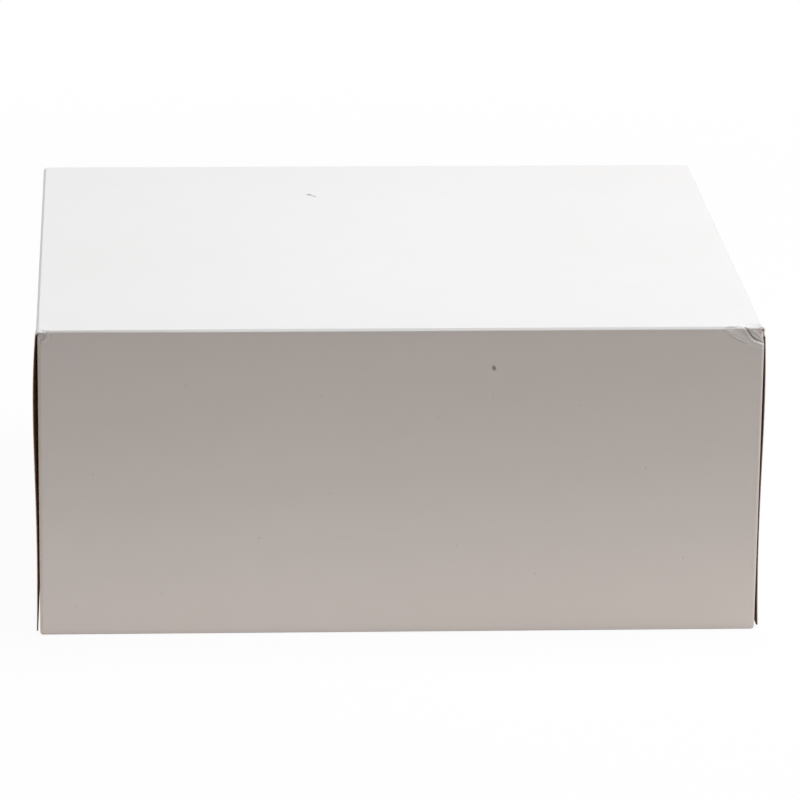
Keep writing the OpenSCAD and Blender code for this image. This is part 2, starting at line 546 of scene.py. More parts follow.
# Faint specks: x, z and strength on the front, x, y and strength on the lid
FRONT_SPECKS = [
    (-97.3, 53.4, 0.16), (-44.9, 32.0, 0.2), (-22.4, 46.5, 0.16), (18.0, 29.0, 0.2),
    (77.9, 54.4, 0.2), (90.5, 24.3, 0.18), (-103.0, 9.7, 0.2), (-75.8, 13.6, 0.16),
    (-68.0, 82.3, 0.14), (29.1, 78.6, 0.14), (12.0, 71.3, 0.12), (56.6, 75.2, 0.14),
    (43.2, 19.5, 0.16),
]
LID_SPECKS = [
    (-66.2, -4.6, 0.1), (-39.7, -10.0, 0.1), (35.1, 29.3, 0.1), (46.9, 5.2, 0.12), (59.0, 4.3, 0.1),
    (94.1, -51.1, 0.14), (98.4, -56.6, 0.1), (113.2, -98.8, 0.14),
]

WHITE_BOARD = coated_white()
KRAFT_LINER = kraft_liner()
CUT_EDGE = cut_edge()


# Crushed front corners of the box. Places are millimetres from the front flap's upper corner:
# across is positive to the right, along is positive up and then back over the lid.


def along_curve(t, points):
    """Height of a smooth curve through points (t, height) at a value of t."""
    if t <= points[0][0]:
        return points[0][1]
    for (a, first), (b, second) in zip(points, points[1:]):
        if t <= b:
            return first + (second - first) * smooth_step((t - a) / (b - a))
    return points[-1][1]


# How far in from each corner the wear reaches
RIGHT_WEAR_WIDTH = 15
LEFT_WEAR_WIDTH = 9
# Distance of each long crease from the corner, by degrees from straight down
RIGHT_DEEP_CREASE = [
    (0, 5.9), (6, 5.7), (12, 5.4), (21, 5.4), (34, 5.45), (47, 5.4), (62, 5.4),
    (76, 5.7), (84, 6.25), (100, 6.8), (130, 5.2), (180, 4.2),
]
RIGHT_FAINT_CREASE = [
    (0, 7.4), (25, 7.3), (44, 7.55), (51, 8.15), (60, 9.0), (67, 9.9), (74, 10.75),
    (81, 11.7), (86, 12.8), (105, 8), (180, 3),
]
# Inward push across the deep crease, from outside it to the corner
DEEP_LEDGE = [
    (-1.0, 0), (-0.24, -0.28), (0.26, 0.4), (0.6, 0.43), (0.76, 0.08), (1.4, 0.02), (3, 0),
]
# Slope of the pressed board inside the faint crease and how wide it is, and the slope inside the
# deep crease and where it starts
FAINT_SLOPE = 0.2
FAINT_WIDTH = 3.0
DEEP_SLOPE = 0.21
DEEP_START = 0.7
# Dark line along the deep crease: a crack in the coating, darkened further with painted shade
SHADED_CRACK_PLACE = 0.5
SHADED_CRACK_WIDTH = 0.17
# The furthest that any place is pushed in, and where the push turns from backwards to downwards
DEEPEST_PUSH = 1.3
TURN_FROM = -0.3
TURN_LENGTH = 2.2

# The two thin lines of the faint crease
LOWER_FAINT_LINE = (
    (-12.75, -1.0), (-11.55, -1.75), (-10.3, -3.0), (-9.1, -3.9), (-7.8, -4.5), (-6.35, -5.15),
    (-5.2, -5.45),
)
UPPER_FAINT_LINE = ((-10.3, -2.3), (-9.4, -2.75), (-8.0, -3.35), (-6.6, -4.1), (-5.5, -4.5))
# Wrinkles: points (across, along), half width, height outwards and painted shade
RIGHT_WRINKLES = [
    (((-8.8, 0.9), (-6.5, 0.85), (-4.3, 0.8)), 0.17, -0.07, 0.42),
    (((-6.3, 0.3), (-4.4, 0.15)), 0.22, 0.06, 0.0),
    (LOWER_FAINT_LINE, 0.16, -0.05, 0.26),
    (UPPER_FAINT_LINE, 0.15, -0.04, 0.24),
    (((-9.6, -3.1), (-7.8, -3.95), (-6.4, -4.6)), 0.2, 0.11, 0.0),
    (((-4.3, -2.2), (-3.1, -3.1), (-1.9, -3.95)), 0.22, 0.12, 0.0),
    (((-3.9, -1.6), (-3.0, -2.3), (-1.2, -3.7)), 0.14, -0.05, 0.2),
    (((-3.0, -1.7), (-2.1, -2.5), (-1.1, -3.4)), 0.2, 0.12, 0.0),
    (((-4.2, -1.3), (-3.2, -1.7), (-2.4, -1.9)), 0.2, 0.1, 0.0),
    (((-5.0, -0.8), (-4.3, -1.2), (-3.6, -1.4)), 0.25, -0.04, 0.12),
    (((-3.3, -0.6), (-2.1, -1.1), (-1.3, -1.9)), 0.2, 0.06, 0.0),
    (((-1.5, -1.4), (-1.1, -1.9)), 0.25, -0.05, 0.2),
    (((-1.9, -4.4), (-0.9, -4.9), (-0.5, -5.4)), 0.16, -0.04, 0.12),
]
LEFT_WRINKLES = [
    (((0.2, 0.9), (0.9, 1.3), (1.9, 1.0)), 0.6, 0.12, 0.0),
    (((2.0, -0.3), (2.2, -0.5)), 0.25, 0.12, 0.0),
    (((1.45, -0.85), (1.6, -0.95)), 0.2, 0.14, 0.0),
    (((0.35, -0.7), (0.45, -0.85)), 0.26, -0.16, 0.6),
    (((0.0, -1.1), (0.1, -1.5)), 0.3, -0.2, 0.6),
    (((0.95, -0.95), (1.05, -1.2)), 0.24, -0.14, 0.5),
    (((3.05, -0.4), (2.6, -1.1), (2.05, -1.9)), 0.17, -0.12, 0.36),
    (((2.5, -0.6), (1.9, -1.35)), 0.2, 0.2, 0.0),
    (((3.5, -0.6), (2.9, -1.6)), 0.25, 0.08, 0.0),
    (((1.6, -1.2), (1.3, -1.9)), 0.3, -0.1, 0.22),
    (((2.25, -2.35), (1.75, -2.85), (1.25, -3.3)), 0.22, -0.12, 0.34),
    (((3.45, -1.95), (2.6, -2.9), (1.6, -3.75), (1.1, -4.2)), 0.22, 0.2, 0.0),
    (((0.75, -1.7), (0.85, -2.6), (1.1, -4.3)), 0.2, -0.1, 0.32),
    (((0.35, -1.6), (0.4, -3.4)), 0.16, 0.06, 0.0),
    (((4.4, -1.3), (4.35, -1.6)), 0.22, -0.03, 0.18),
    (((4.2, -1.7), (4.1, -3.0)), 0.16, -0.03, 0.1),
    (((3.9, 0.2), (3.2, -0.1)), 0.3, -0.06, 0.12),
]
# Torn curl at the right tip: its place, its raised rim, its hollow and its brown torn middle
CURL_PLACE = (-0.2, -1.4)
RIM_R = 0.55
RIM_WIDTH = 0.2
RIM_HEIGHT = 0.3
HOLLOW_WIDTH = 0.3
HOLLOW_DEPTH = 0.2
TORN_R = 0.5
TORN_SOFTNESS = 0.18
TORN_SHARE = 0.95
# Fine crumpling of the left corner: its height, its fineness and how far it reaches
CRUMPLE_HEIGHT = 0.13
CRUMPLE_FINENESS = 1.6
CRUMPLE_SLICE = 7.7
CRUMPLE_REACH = 4.8


def wrinkle_reach(across, along, points):
    """Distance from a place to a wrinkle drawn through points."""
    best = math.inf
    for (ax, ay), (bx, by) in zip(points, points[1:]):
        dx, dy = bx - ax, by - ay
        share = ((across - ax) * dx + (along - ay) * dy) / (dx * dx + dy * dy)
        share = min(1.0, max(0.0, share))
        best = min(best, math.hypot(across - ax - share * dx, along - ay - share * dy))
    return best


def add_wrinkles(across, along, wrinkles):
    """Inward push and painted shade of all the wrinkles at a place."""
    push = 0.0
    shade = 0.0
    for points, width, height, painted_shade in wrinkles:
        reach = wrinkle_reach(across, along, points)
        if reach < 3 * width:
            hump = bump_at(reach, width)
            push -= height * hump
            # Painted shade in the wrinkles
            shade = max(shade, painted_shade * hump)
    return push, shade


def right_wear(across, along):
    """Inward push, painted shade and torn coating of the top right corner."""
    if across < -RIGHT_WEAR_WIDTH:
        return 0.0, 0.0, 0.0
    inside = min(across, -0.05)
    reach = math.hypot(inside, along)
    angle = math.degrees(math.atan2(-inside, -along))
    deep = along_curve(angle, RIGHT_DEEP_CREASE) - reach
    faint = along_curve(angle, RIGHT_FAINT_CREASE) - reach
    sharp = smooth_step((108 - angle) / 22)
    push, shade = add_wrinkles(across, along, RIGHT_WRINKLES)
    push += FAINT_SLOPE * min(FAINT_WIDTH, max(0.0, faint))
    push += DEEP_SLOPE * max(0.0, deep - DEEP_START)
    height = 0.4 + 0.6 * smooth_step((angle - 3) / 20)
    push += sharp * height * along_curve(deep, DEEP_LEDGE)
    middle = smooth_step((angle - 15) / 20) * smooth_step((96 - angle) / 30)
    # Painted shade along the deep crease, over a crack in its coating
    crack_shade = (0.12 + 0.8 * middle) * bump_at(deep - SHADED_CRACK_PLACE, SHADED_CRACK_WIDTH)
    shade = max(shade, sharp * crack_shade)
    curl = math.hypot(across - CURL_PLACE[0], along - CURL_PLACE[1])
    push -= RIM_HEIGHT * bump_at(curl - RIM_R, RIM_WIDTH)
    push += HOLLOW_DEPTH * bump_at(curl, HOLLOW_WIDTH)
    torn = TORN_SHARE * smooth_step((TORN_R - curl) / TORN_SOFTNESS)
    return push, shade, torn


def left_wear(across, along):
    """Inward push, painted shade and torn coating of the top left corner."""
    if across > LEFT_WEAR_WIDTH:
        return 0.0, 0.0, 0.0
    push, shade = add_wrinkles(across, along, LEFT_WRINKLES)
    reach = math.hypot(across, along)
    place = Vector((across * CRUMPLE_FINENESS, along * CRUMPLE_FINENESS, CRUMPLE_SLICE))
    push += CRUMPLE_HEIGHT * noise.noise(place) * smooth_step((CRUMPLE_REACH - reach) / 2)
    return push, shade, 0.0


def wear_at(place):
    """Inward push in metres, painted shade and torn coating at a point of the box's outside."""
    along = (place.y - FRONT_Y + place.z - TOP_Z) / MM
    if along > LID_STRIP / MM or along < -FLAP_STRIP / MM:
        return 0.0, 0.0, 0.0
    if place.x > 0:
        push, shade, torn = right_wear((place.x - FRONT_HALF_W) / MM, along)
    else:
        push, shade, torn = left_wear((place.x + FRONT_HALF_W) / MM, along)
    fade = smooth_step((FLAP_STRIP / MM + along) / 1.5)
    fade *= smooth_step((LID_STRIP / MM - along) / 4.0)
    if abs(place.x) > FRONT_HALF_W:
        fade *= smooth_step((place.z - FOLD_Z + SIDE_RIM) / (2 * MM))
    return min(push * fade, DEEPEST_PUSH) * MM, shade * fade, torn


def whiten_layers(piece, reach):
    """Leaves only chalky white fibres on the cut ends of a side flap, down to a reach below the
    lid: the layer value falls to -2 there."""
    layer = piece.data.attributes["layer"].data
    for vertex in piece.data.vertices:
        share = smooth_step((TOP_Z - vertex.co.z - reach) / PALE_FADE)
        layer[vertex.index].value = layer[vertex.index].value * share - 2 * (1 - share)


def roll_edge(place):
    """How a point near the front flap's right edge moves: back with the rolled edge, and out
    with the edge's slight bow."""
    if place.x < 0 or place.z > FOLD_Z:
        return Vector((0, 0, 0))
    height = (FOLD_Z - place.z) / (FOLD_Z - FRONT_LOW.z)
    edge = FRONT_HALF_W - FRONT_TAPER * height
    close = max(0.0, 1 - (edge - place.x) / ROLL_WIDTH)
    back = ROLL_DEPTH * close**2 * smooth_step((FOLD_Z - place.z) / (1.5 * MM))
    out = EDGE_OUT * smooth_step((height - 0.02) / 0.03) + EDGE_BOW * math.sin(math.pi * height)
    return Vector((out * MM * min(1.0, close * 2), back, 0))


def edge_wear(place):
    """Bare pulp and painted shade down the front flap's left edge."""
    if place.z > FOLD_Z or place.y > FRONT_Y + 2 * BOARD_T:
        return 0.0, 0.0
    inset = place.x + FRONT_HALF_W
    fade = smooth_step((FOLD_Z - place.z) / (3 * MM))
    bare = smooth_step((BARE_EDGE + BARE_SOFTNESS / 2 - inset) / BARE_SOFTNESS)
    # Painted shade of a faint line beside the bare edge
    painted_line = PAINTED_LINE_SHADE * bump_at(inset - PAINTED_LINE_PLACE, PAINTED_LINE_WIDTH)
    return bare * fade, painted_line * fade


def weather_front(piece):
    """Crushes the front corners of a piece, and paints shade into its creases and cracks and beside
    its left edge, and paints its torn spots and bare edge.
    """
    names = ("painted_shade_and_cracks", "torn_coat", "bare_edge")
    for name in names:
        piece.data.attributes.new(name, "FLOAT", "POINT")
    marks = {name: piece.data.attributes[name].data for name in names}
    for vertex in piece.data.vertices:
        place = vertex.co.copy()
        push, shade, torn = wear_at(place)
        bare, painted_line = edge_wear(place)
        # Painted shade from the creases, the crack and the line beside the left edge
        marks["painted_shade_and_cracks"][vertex.index].value = max(shade, painted_line)
        marks["torn_coat"][vertex.index].value = torn
        marks["bare_edge"][vertex.index].value = bare
        along = (place.y - FRONT_Y + place.z - TOP_Z) / MM
        tilt = smooth_step((along - TURN_FROM) / TURN_LENGTH)
        inwards = Vector((0, 1 - tilt, -tilt)).normalized()
        vertex.co = place + inwards * push + roll_edge(place)


def tighten_bend(back, down, radius):
    """Moves a point of a bend's outer face out to a bend of a smaller radius."""
    out, up = FOLD_R - back, FOLD_R - down
    reach = math.hypot(out, up)
    if reach < FOLD_R - BOARD_T / 2:
        return back, down
    out, up = out / reach, up / reach
    straight = FOLD_R - radius
    middle = straight * (out + up)
    stretch = middle + math.sqrt(max(0.0, middle**2 - 2 * straight**2 + radius**2))
    if FOLD_R * min(out, up) < straight * max(out, up):
        stretch = FOLD_R / max(out, up)
    return FOLD_R - stretch * out, FOLD_R - stretch * up


def press_flat(back, down, flat, degrees):
    """Presses a point of a fold back to a flat, which leans by degrees from level and lies at a
    distance from the sharp corner."""
    lean = math.radians(degrees)
    short = max(0.0, flat - back * math.sin(lean) - down * math.cos(lean))
    return back + short * math.sin(lean), down + short * math.cos(lean)


def flatten_fold(piece, side=0):
    """Gives a fold its narrow flat: the front fold for side 0, or the fold of one side flap.
    The front fold is tighter towards the left and its flat steeper, and the left corner is
    pressed to a knuckle."""
    for vertex in piece.data.vertices:
        x, y, z = vertex.co
        if side == 0:
            if y - FRONT_Y <= FOLD_R and TOP_Z - z <= FOLD_R:
                left_share = smooth_step((STEEPER_FROM - x) / STEEPER_LENGTH)
                tighter = smooth_step((TIGHTER_FROM - x) / TIGHTER_LENGTH)
                radius = FOLD_R - LEFT_TIGHTER * tighter
                back, down = tighten_bend(y - FRONT_Y, TOP_Z - z, radius)
                flat = FOLD_FLAT - LEFT_NARROWER * left_share
                back, down = press_flat(back, down, flat, FOLD_LEAN + LEFT_STEEPER * left_share)
                vertex.co = (x, FRONT_Y + back, TOP_Z - down)
        elif SIDE_X - abs(x) <= FOLD_R and TOP_Z - z <= FOLD_R:
            back, down = press_flat(SIDE_X - abs(x), TOP_Z - z, FOLD_FLAT, FOLD_LEAN)
            vertex.co = (side * (SIDE_X - back), y, TOP_Z - down)
        x, y, z = vertex.co
        close = smooth_step((KNUCKLE_IN - FRONT_HALF_W - x) / KNUCKLE_FADE)
        if close > 0 and y - FRONT_Y < KNUCKLE_BACK and TOP_Z - z < FOLD_R:
            back, down = press_flat(y - FRONT_Y, TOP_Z - z, KNUCKLE_FLAT * close, KNUCKLE_LEAN)
            vertex.co = (x, FRONT_Y + back, TOP_Z - down)


# The lid and its front


def crowd_columns(t):
    """Moves evenly spaced columns, t from -1 to 1, closer together towards both corners."""
    return 0.2 * t + 0.8 * (1.5 * t - 0.5 * t**3)


def front_edge_x(place):
    """Half width of the front strip at a height: less on the lid, and running in down the right."""
    bend = smooth_step((FRONT_Y + FOLD_R - place.y) / FOLD_R)
    half = SIDE_X - FOLD_R - FOLD_RIM
    half += (FRONT_HALF_W - half) * bend
    if place.x > 0 and place.z < FOLD_Z:
        half -= FRONT_TAPER * (FOLD_Z - place.z) / (FOLD_Z - FRONT_LOW.z)
    return half


def make_front_fold():
    """Front fold with the strips of lid and flap beside it, as far as the crushed corners go."""
    clear_selection()
    rows = round(LID_STRIP / STRIP_CELL)
    strip = LID_STRIP - FOLD_R
    middle = (0, FRONT_Y + FOLD_R + strip / 2, TOP_Z)
    bpy.ops.mesh.primitive_grid_add(
        x_subdivisions=FRONT_COLUMNS, y_subdivisions=rows, size=1, location=middle
    )
    piece = bpy.context.object
    piece.name = "front_fold"
    piece.scale = (2 * FRONT_HALF_W, strip, 1)
    bpy.ops.object.transform_apply(location=True, rotation=True, scale=True)
    open_for_edit(piece)
    start_y = FRONT_Y + FOLD_R
    pick_edges(piece, lambda co: near(co.y, start_y))
    turn_fold((0, start_y, FOLD_Z), (1, 0, 0))
    down = FLAP_STRIP - FOLD_R
    carry_on(Vector((0, 0, -down)), steps=round(down / STRIP_CELL))
    close_edit()
    for vertex in piece.data.vertices:
        share = crowd_columns(vertex.co.x / FRONT_HALF_W)
        vertex.co.x = share * front_edge_x(vertex.co)
    finish_board(piece, Vector((0, FRONT_Y + LID_STRIP / 2, TOP_Z)), Vector((0, 0, 1)))
    flatten_fold(piece)
    weather_front(piece)
    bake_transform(piece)


def make_lid_board():
    """Flat top between the four folds."""
    half = SIDE_X - FOLD_R - FOLD_RIM
    low = Vector((-half, FRONT_Y + LID_STRIP, TOP_Z))
    high = Vector((half, BACK_Y - FOLD_R - FOLD_RIM, TOP_Z))
    piece = add_sheet("lid_board", low, high)
    finish_board(piece, (low + high) / 2, Vector((0, 0, 1)))
    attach(piece, "lid")
    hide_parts("lid_panel")


def make_front_flap_board():
    """Front flap below the fold strip, with rounded bottom corners."""
    top = TOP_Z - FLAP_STRIP
    bottom = FRONT_LOW.z
    low = Vector((-FRONT_HALF_W, FRONT_Y, bottom))
    high = Vector((FRONT_HALF_W, FRONT_Y, top))
    piece = add_sheet("front_flap_board", low, high)
    for vertex in piece.data.vertices:
        if vertex.co.x > 0:
            vertex.co.x -= FRONT_TAPER * (FOLD_Z - vertex.co.z) / (FOLD_Z - bottom)
    round_corners(piece, lambda co: near(co.z, bottom), FRONT_CORNER_R)
    open_for_edit(piece, "FACE")
    slope = Vector((1, 0, -FRONT_TAPER / (FOLD_Z - bottom)))
    for inset in RIGHT_EDGE_CUTS:
        cut_through((FRONT_HALF_W - inset * MM, 0, FOLD_Z), slope)
    for inset in LEFT_EDGE_CUTS:
        cut_through((inset * MM - FRONT_HALF_W, 0, 0), SIDEWAYS)
    close_edit()
    finish_board(piece, (low + high) / 2, Vector((0, -1, 0)))
    weather_front(piece)
    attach(piece, "front_flap")
    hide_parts("front_flap")


def round_corners(piece, test, radius):
    """Rounds the corners of a flat sheet that pass the test."""
    mesh = open_for_edit(piece, "VERT")
    for vertex in mesh.verts:
        if test(vertex.co):
            vertex.select_set(True)
    bmesh.update_edit_mesh(piece.data)
    bpy.ops.mesh.bevel(offset=radius, segments=6, affect="VERTICES")
    close_edit()


# Side flaps


def side_offset(u, bend, depth):
    """Outward distance of a side flap from its fold: u is 0 at the fold and 1 at the bottom, and
    depth is 0 at the front edge and 1 at the back. The factors 256 / 27 and 27 / 4 bring the
    highest points of the bow's and the sag's curves to 1."""
    near_front = 1 - smooth_step(depth / CURL_SHARE)
    bow = bend["bow"] - bend["curl"] * (1 - near_front)
    bow += (bend["back_bow"] + bend["curl"] - bend["bow"]) * smooth_step(depth)
    offset = bow * u * (1 - u) ** 3 * 256 / 27
    rise = smooth_step(u / SHOULDER_TOP)
    offset += bend["shoulder"] * near_front * rise * math.exp(-u / SHOULDER_FADE)
    offset -= bend["sag"] * u**2 * (1 - u) * 27 / 4
    return offset + bend["flare"] * u**3


def bend_side(piece, side, bend):
    """Bends a flat side flap, or the rim above it, outwards."""
    for vertex in piece.data.vertices:
        co = vertex.co
        if co.z < FOLD_Z:
            u = (FOLD_Z - co.z) / (FOLD_Z - SIDE_LIFT)
            depth = (co.y - SIDE_FRONT_Y) / (SIDE_BACK_Y - SIDE_FRONT_Y)
            co.x += side * side_offset(u, bend, depth)


def make_side_fold(side, name, bend):
    """Narrow strip of bent board between the lid and one side flap."""
    start_x = side * (SIDE_X - FOLD_R)
    low = Vector((min(start_x, start_x - side * FOLD_RIM), SIDE_FRONT_Y, TOP_Z))
    high = Vector((max(start_x, start_x - side * FOLD_RIM), SIDE_BACK_Y, TOP_Z))
    piece = add_sheet(name, low, high)
    cut_across_y(piece)
    open_for_edit(piece)
    pick_edges(piece, lambda co: near(co.x, start_x))
    turn_fold((start_x, 0, FOLD_Z), (0, side, 0))
    carry_on(Vector((0, 0, -SIDE_RIM)), steps=SIDE_RIM_STEPS)
    close_edit()
    reach_forward(piece, bend)
    bend_side(piece, side, bend)
    finish_board(piece, Vector((start_x, 0, TOP_Z)), Vector((0, 0, 1)))
    whiten_layers(piece, bend["pale_end"])
    flatten_fold(piece, side)
    weather_front(piece)
    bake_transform(piece)


def reach_forward(piece, bend):
    """Draws the front end of a side fold forward and rounds it down, to close the corner."""
    for vertex in piece.data.vertices:
        co = vertex.co
        close = max(0.0, 1 - (co.y - SIDE_FRONT_Y) / SIDE_DRAWN)
        share = smooth_step((co.z - TOP_Z + bend["pale_end"]) / PALE_FADE)
        co.y -= SIDE_REACH * close * share
        sunk = FRONT_Y + FOLD_R - co.y
        if sunk > 0:
            co.z -= FOLD_R - math.sqrt(max(0.0, FOLD_R**2 - sunk**2))


def side_cuts():
    """Places from front to back where a side flap and its fold are divided, close together near
    the front edge."""
    cuts = [SIDE_FRONT_Y + NEAR_STEP * i for i in range(2, 10)]
    return cuts + [SIDE_FRONT_Y + (FAR_FROM + FAR_STEP * i) * MM for i in range(29)]


def cut_across_y(piece):
    """Cuts a strip that runs from front to back into lengths, shortest near the front corner."""
    open_for_edit(piece, "FACE")
    for y in [SIDE_FRONT_Y + FINE_STEP * i for i in range(1, 7)] + side_cuts():
        cut_through((0, y, 0), BACKWARDS)
    close_edit()


def make_side_flap_board(side, name, body, bend):
    """Side flap below its fold strip, bowed and flared, with rounded bottom corners."""
    x = side * SIDE_X
    top = FOLD_Z - SIDE_RIM
    low = Vector((x, SIDE_FRONT_Y, SIDE_LIFT))
    high = Vector((x, SIDE_BACK_Y, top))
    piece = add_sheet(name, low, high)
    round_corners(piece, lambda co: near(co.z, SIDE_LIFT), SIDE_CORNER_R)
    open_for_edit(piece, "FACE")
    for i in range(1, SIDE_ROWS):
        z = SIDE_LIFT + (top - SIDE_LIFT) * i / SIDE_ROWS
        cut_through((0, 0, z), UPWARDS)
    for y in side_cuts():
        cut_through((0, y, 0), BACKWARDS)
    close_edit()
    bend_side(piece, side, bend)
    middle = Vector((x, 0, (top + SIDE_LIFT) / 2))
    finish_board(piece, middle, Vector((side, 0, 0)))
    whiten_layers(piece, bend["pale_end"])
    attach(piece, body)
    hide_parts(body)


# Back fold and tray


def make_back_fold():
    """Hinge fold between the tray's back wall and the lid."""
    start_y = BACK_Y - FOLD_R
    low = Vector((-TRAY_HALF_W, start_y - FOLD_RIM, TOP_Z))
    high = Vector((TRAY_HALF_W, start_y, TOP_Z))
    piece = add_sheet("back_fold", low, high)
    open_for_edit(piece)
    pick_edges(piece, lambda co: near(co.y, start_y))
    turn_fold((0, start_y, FOLD_Z), (-1, 0, 0))
    carry_on(Vector((0, 0, -FOLD_RIM)))
    close_edit()
    finish_board(piece, Vector((0, start_y - FOLD_RIM, TOP_Z)), Vector((0, 0, 1)))
    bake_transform(piece)


def raise_end_wall(piece, y, outwards, top):
    """Turns the front or back wall up from the base and widens it to the tray's full width."""
    edge_y = y - outwards * FOLD_R
    open_for_edit(piece)
    pick_edges(piece, lambda co: near(co.y, edge_y) and near(co.z, 0))
    turn_fold((0, edge_y, FOLD_R), (outwards, 0, 0))
    carry_on(Vector((0, 0, FOLD_R)))
    mesh = bmesh.from_edit_mesh(piece.data)
    for vertex in mesh.verts:
        if vertex.select and abs(vertex.co.x) > TRAY_HALF_W - 2 * FOLD_R:
            vertex.co.x = math.copysign(TRAY_HALF_W, vertex.co.x)
    bmesh.update_edit_mesh(piece.data)
    carry_on(Vector((0, 0, top - 2 * FOLD_R)))
    close_edit()


def raise_side_wall(piece, side):
    """Turns one side wall up from the base, between the relief cuts at its two ends."""
    edge_x = side * (TRAY_HALF_W - FOLD_R)
    gap = BOARD_T + FOLD_R
    front = TRAY_FRONT_Y + gap
    back = BACK_Y - gap
    open_for_edit(piece)
    pick_edges(
        piece,
        lambda co: near(co.x, edge_x)
        and near(co.z, 0)
        and front - TOUCH < co.y < back + TOUCH,
    )
    turn_fold((edge_x, 0, FOLD_R), (0, -side, 0))
    carry_on(Vector((0, 0, WALL_TOP - FOLD_R)))
    close_edit()


def fold_corner_tab(piece, side, end):
    """Turns a glued tab in from the end of a side wall, flat behind the front or back wall."""
    wall_x = side * TRAY_HALF_W
    gap = BOARD_T + FOLD_R
    end_y = TRAY_FRONT_Y + gap if end < 0 else BACK_Y - gap
    low = FOLD_R + TAB_RELIEF
    high = WALL_TOP - TAB_RELIEF
    open_for_edit(piece)
    pick_edges(
        piece,
        lambda co: near(co.x, wall_x)
        and near(co.y, end_y)
        and low - TOUCH < co.z < high + TOUCH,
    )
    turn_fold((wall_x - side * FOLD_R, end_y, 0), (0, 0, side * end))
    carry_on(Vector((-side * (TAB_L - FOLD_R), 0, 0)))
    mesh = bmesh.from_edit_mesh(piece.data)
    for vertex in mesh.verts:
        if vertex.select:
            vertex.co.z += TAB_SLOPE if vertex.co.z < WALL_TOP / 2 else -TAB_SLOPE
    bmesh.update_edit_mesh(piece.data)
    close_edit()


def press_in_corners(piece):
    """Presses in the front wall's upper corners, behind the crushed corners of the front flap."""
    open_for_edit(piece, "FACE")
    cuts = (
        ((RIGHT_PRESSED_X, 0, 0), SIDEWAYS),
        ((LEFT_PRESSED_X, 0, 0), SIDEWAYS),
        ((0, 0, PRESSED_Z), UPWARDS),
    )
    for place, across in cuts:
        pick_faces(piece, lambda co: near(co.y, TRAY_FRONT_Y))
        bpy.ops.mesh.bisect(plane_co=place, plane_no=across)
    close_edit()
    for vertex in piece.data.vertices:
        co = vertex.co
        if near(co.y, TRAY_FRONT_Y) and near(co.z, WALL_TOP) and near(abs(co.x), TRAY_HALF_W):
            co.y += RIGHT_PRESSED if co.x > 0 else LEFT_PRESSED


def make_tray_board():
    """Base, four walls and glued corner tabs, all one sheet."""
    half = TRAY_HALF_W - FOLD_R
    low = Vector((-half, TRAY_FRONT_Y + FOLD_R, 0))
    high = Vector((half, BACK_Y - FOLD_R, 0))
    piece = add_sheet("tray_board", low, high)
    open_for_edit(piece, "FACE")
    for y in (low.y + BOARD_T, high.y - BOARD_T):
        cut_through((0, y, 0), BACKWARDS)
    close_edit()
    raise_end_wall(piece, TRAY_FRONT_Y, -1, WALL_TOP)
    raise_end_wall(piece, BACK_Y, 1, FOLD_Z - FOLD_RIM)
    for side in (-1, 1):
        raise_side_wall(piece, side)
    open_for_edit(piece, "FACE")
    for z in (FOLD_R + TAB_RELIEF, WALL_TOP - TAB_RELIEF):
        pick_faces(piece, lambda co: abs(co.x) > TRAY_HALF_W - FOLD_R / 4)
        bpy.ops.mesh.bisect(plane_co=(0, 0, z), plane_no=UPWARDS)
    close_edit()
    for side in (-1, 1):
        for end in (-1, 1):
            fold_corner_tab(piece, side, end)
    press_in_corners(piece)
    finish_board(piece, Vector((0, 0, 0)), Vector((0, 0, -1)))
    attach(piece, "tray")
    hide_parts("tray")


make_tray_board()
make_back_fold()
make_lid_board()
make_front_fold()
make_front_flap_board()
make_side_fold(-1, "left_fold", LEFT_BEND)
make_side_fold(1, "right_fold", RIGHT_BEND)
make_side_flap_board(-1, "left_flap_board", "left_flap", LEFT_BEND)
make_side_flap_board(1, "right_flap_board", "right_flap", RIGHT_BEND)


# Floor, world, lights and camera


FLOOR_BOUNCE = (0.475, 0.428, 0.386)
FLOOR_WHITE = (0.96, 0.96, 0.96)
# Share of plain white in what is seen of the floor beside the box and far from it, and how far
# from the middle that is
NEAR_WHITE = 0.94
FAR_WHITE = 1.0
NEAR_REACH = 0.25
FAR_REACH = 0.9


def seen_directly(tree):
    """1 for rays of the camera, of gloss and of glass; 0 for light that surfaces throw about."""
    rays = tree.nodes.new("ShaderNodeLightPath")
    seen = rays.outputs["Is Camera Ray"]
    for kind in ("Is Glossy Ray", "Is Transmission Ray"):
        either = tree.nodes.new("ShaderNodeMath")
        either.operation = "MAXIMUM"
        tree.links.new(seen, either.inputs[0])
        tree.links.new(rays.outputs[kind], either.inputs[1])
        seen = either.outputs["Value"]
    return seen


def mix_shaders(tree, share, first, second):
    mix = tree.nodes.new("ShaderNodeMixShader")
    tree.links.new(share, mix.inputs["Fac"])
    tree.links.new(first, mix.inputs[1])
    tree.links.new(second, mix.inputs[2])
    return mix.outputs["Shader"]


def add_floor():
    """Wide pale floor that shows white, with a light shadow round the box."""
    clear_selection()
    bpy.ops.mesh.primitive_plane_add(size=40, location=(0, 0, 0))
    floor = bpy.context.object
    floor.name = "pale_floor"
    material, paper = new_material("pale_floor", roughness=0.9, specular=0.0)
    fill_in(paper, {"Base Color": (*FLOOR_BOUNCE, 1)})
    n = Nodes(material)
    tree = n.tree
    shown = tree.nodes.new("ShaderNodeBsdfDiffuse")
    fill_in(shown, {"Color": (*FLOOR_WHITE, 1)})
    glow = tree.nodes.new("ShaderNodeEmission")
    reach = n.vectors("LENGTH", n.place)
    share = n.spread(reach.outputs["Value"], NEAR_REACH, FAR_REACH, NEAR_WHITE, FAR_WHITE)
    share.node.interpolation_type = "SMOOTHSTEP"
    white = mix_shaders(tree, share, shown.outputs["BSDF"], glow.outputs["Emission"])
    surface = mix_shaders(tree, seen_directly(tree), paper.outputs["BSDF"], white)
    tree.links.new(surface, tree.nodes["Material Output"].inputs["Surface"])
    floor.data.materials.append(material)


AMBIENT = (1.0, 0.915, 0.885)
AMBIENT_STRENGTH = 0.15


